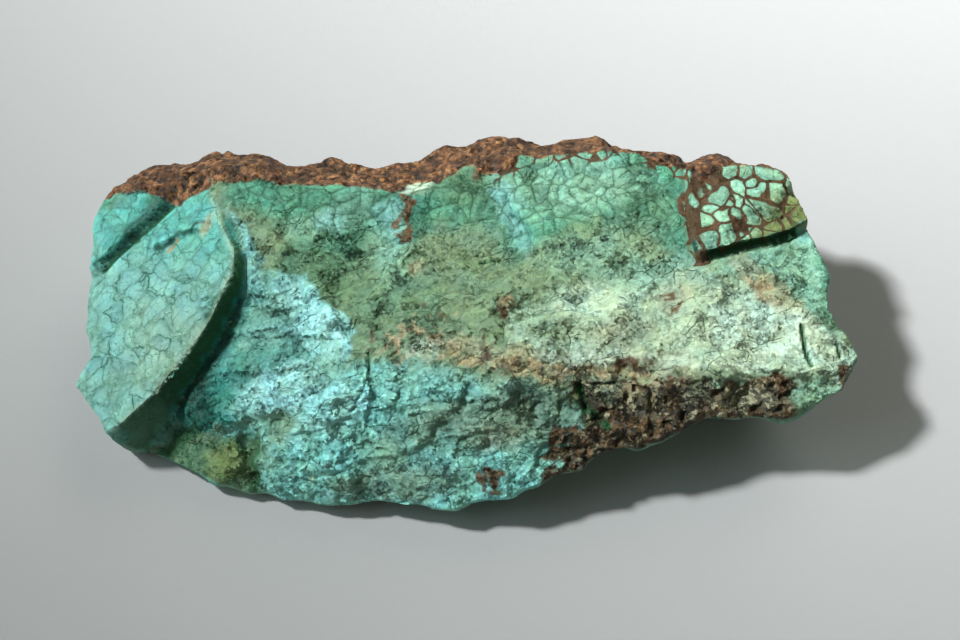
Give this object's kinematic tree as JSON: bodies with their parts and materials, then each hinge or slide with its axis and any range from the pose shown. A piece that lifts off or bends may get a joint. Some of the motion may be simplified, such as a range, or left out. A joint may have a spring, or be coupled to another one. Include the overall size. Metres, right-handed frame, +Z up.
{
  "type": "raw turquoise nugget",
  "caption": "Long flat-lying chunk of raw turquoise with a broken, stepped upper face, sloping flanks and a lumpy brown rind of host rock along one side.",
  "frame": {"origin": "on the flat resting face under the nugget, below its middle", "axes": "+X along the nugget's length towards its pointed end, +Z up, out of the broken upper face, +Y towards the side with the brown rind"},
  "size_m": [0.0885, 0.0433, 0.0191],
  "materials": {
    "turquoise": "matt broken turquoise, mint to blue-green with dark webs, and a brown grainy rind"
  },
  "bodies": {
    "root": {"turquoise_stone": "turquoise"}
  },
  "joints": []
}
